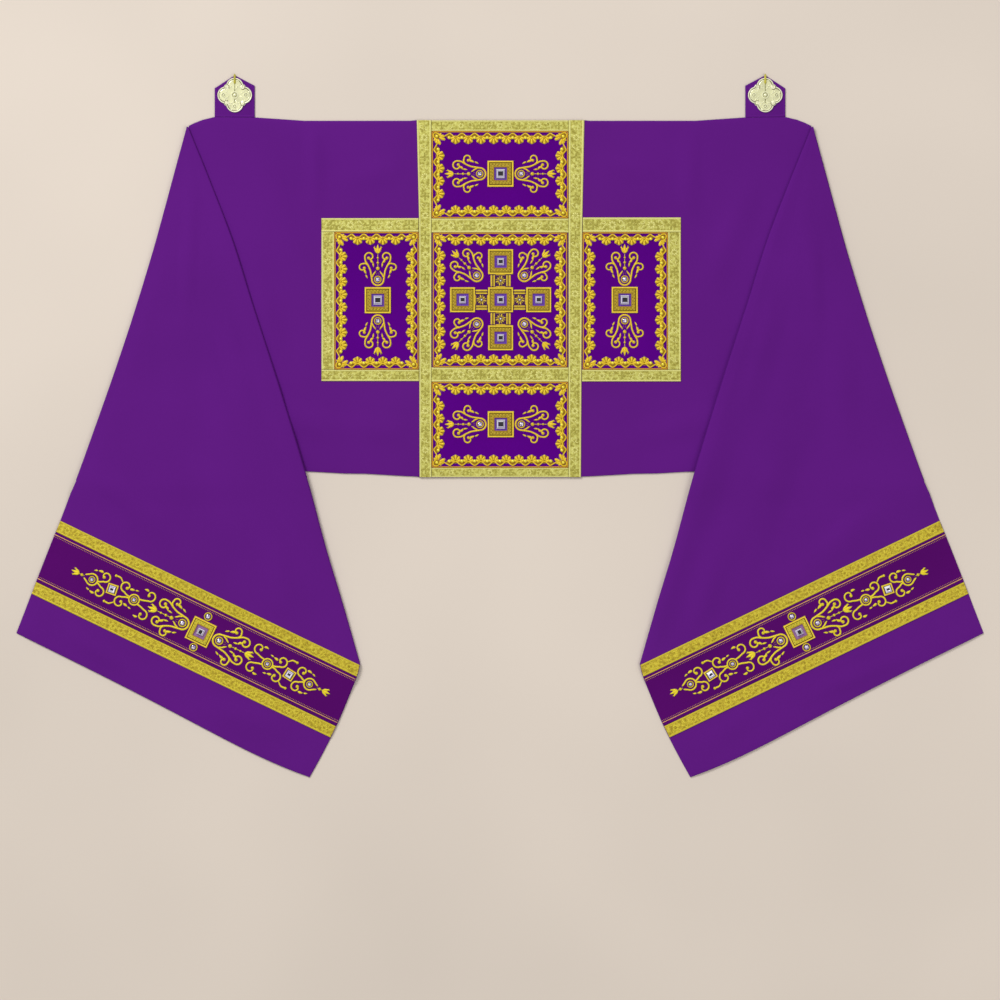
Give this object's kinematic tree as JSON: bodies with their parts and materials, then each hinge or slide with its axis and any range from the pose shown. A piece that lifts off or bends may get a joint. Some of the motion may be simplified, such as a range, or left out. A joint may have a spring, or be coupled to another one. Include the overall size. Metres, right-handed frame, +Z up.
{
  "type": "humeral veil",
  "caption": "Violet humeral veil laid flat with its ends folded down, jewelled cross and embroidered panels in woven braid, metal clasps on two tabs.",
  "frame": {"origin": "middle of the underside of the whole veil's box, on the surface that it lies on", "axes": "+X to the right across the veil as it lies, +Y towards the edge with the tabs, +Z up from the surface"},
  "size_m": [1.6252, 1.182, 0.0101],
  "materials": {
    "ground_cloth": "soft satin weave",
    "panel_cloth": "matte velvet ground under embroidery",
    "band_cloth": "matte velvet ground under embroidery",
    "woven_braid": "pale gold metal-thread galloon",
    "gold_thread": "bright gold metal-thread embroidery",
    "clasp_metal": "pale gold plate, cast relief",
    "stone": "clear cut glass"
  },
  "bodies": {
    "root": {"ground_middle": "ground_cloth", "end_front_left": "ground_cloth", "end_front_right": "ground_cloth", "end_folded_left": "ground_cloth", "end_folded_right": "ground_cloth", "tab_left": "ground_cloth", "tab_right": "ground_cloth", "clasp_left": "clasp_metal", "clasp_right": "clasp_metal", "panel_centre": "panel_cloth", "panel_top": "panel_cloth", "panel_bottom": "panel_cloth", "panel_left": "panel_cloth", "panel_right": "panel_cloth", "border_centre": "gold_thread", "border_top": "gold_thread", "border_bottom": "gold_thread", "border_left": "gold_thread", "border_right": "gold_thread", "braid_across_top": "woven_braid", "braid_across_upper": "woven_braid", "braid_across_lower": "woven_braid", "braid_across_bottom": "woven_braid", "braid_left_top": "woven_braid", "braid_left_bottom": "woven_braid", "braid_right_top": "woven_braid", "braid_right_bottom": "woven_braid", "braid_left_outer": "woven_braid", "braid_right_outer": "woven_braid", "braid_upright_left": "woven_braid", "braid_upright_right": "woven_braid", "jewel_cross_centre": "gold_thread", "jewel_cross_top": "gold_thread", "jewel_cross_bottom": "gold_thread", "jewel_cross_left": "gold_thread", "jewel_cross_right": "gold_thread", "cross_bar_top": "gold_thread", "cross_bar_bottom": "gold_thread", "cross_bar_left": "gold_thread", "cross_bar_right": "gold_thread", "jewel_panel_top": "gold_thread", "jewel_panel_bottom": "gold_thread", "jewel_panel_left": "gold_thread", "jewel_panel_right": "gold_thread", "band_left": "band_cloth", "band_right": "band_cloth", "band_braid_upper_left": "woven_braid", "band_braid_upper_right": "woven_braid", "band_braid_lower_left": "woven_braid", "band_braid_lower_right": "woven_braid", "jewel_band_left": "gold_thread", "jewel_band_right": "gold_thread", "jewel_small_outer_left": "gold_thread", "jewel_small_outer_right": "gold_thread", "jewel_small_inner_left": "gold_thread", "jewel_small_inner_right": "gold_thread"}
  },
  "joints": []
}
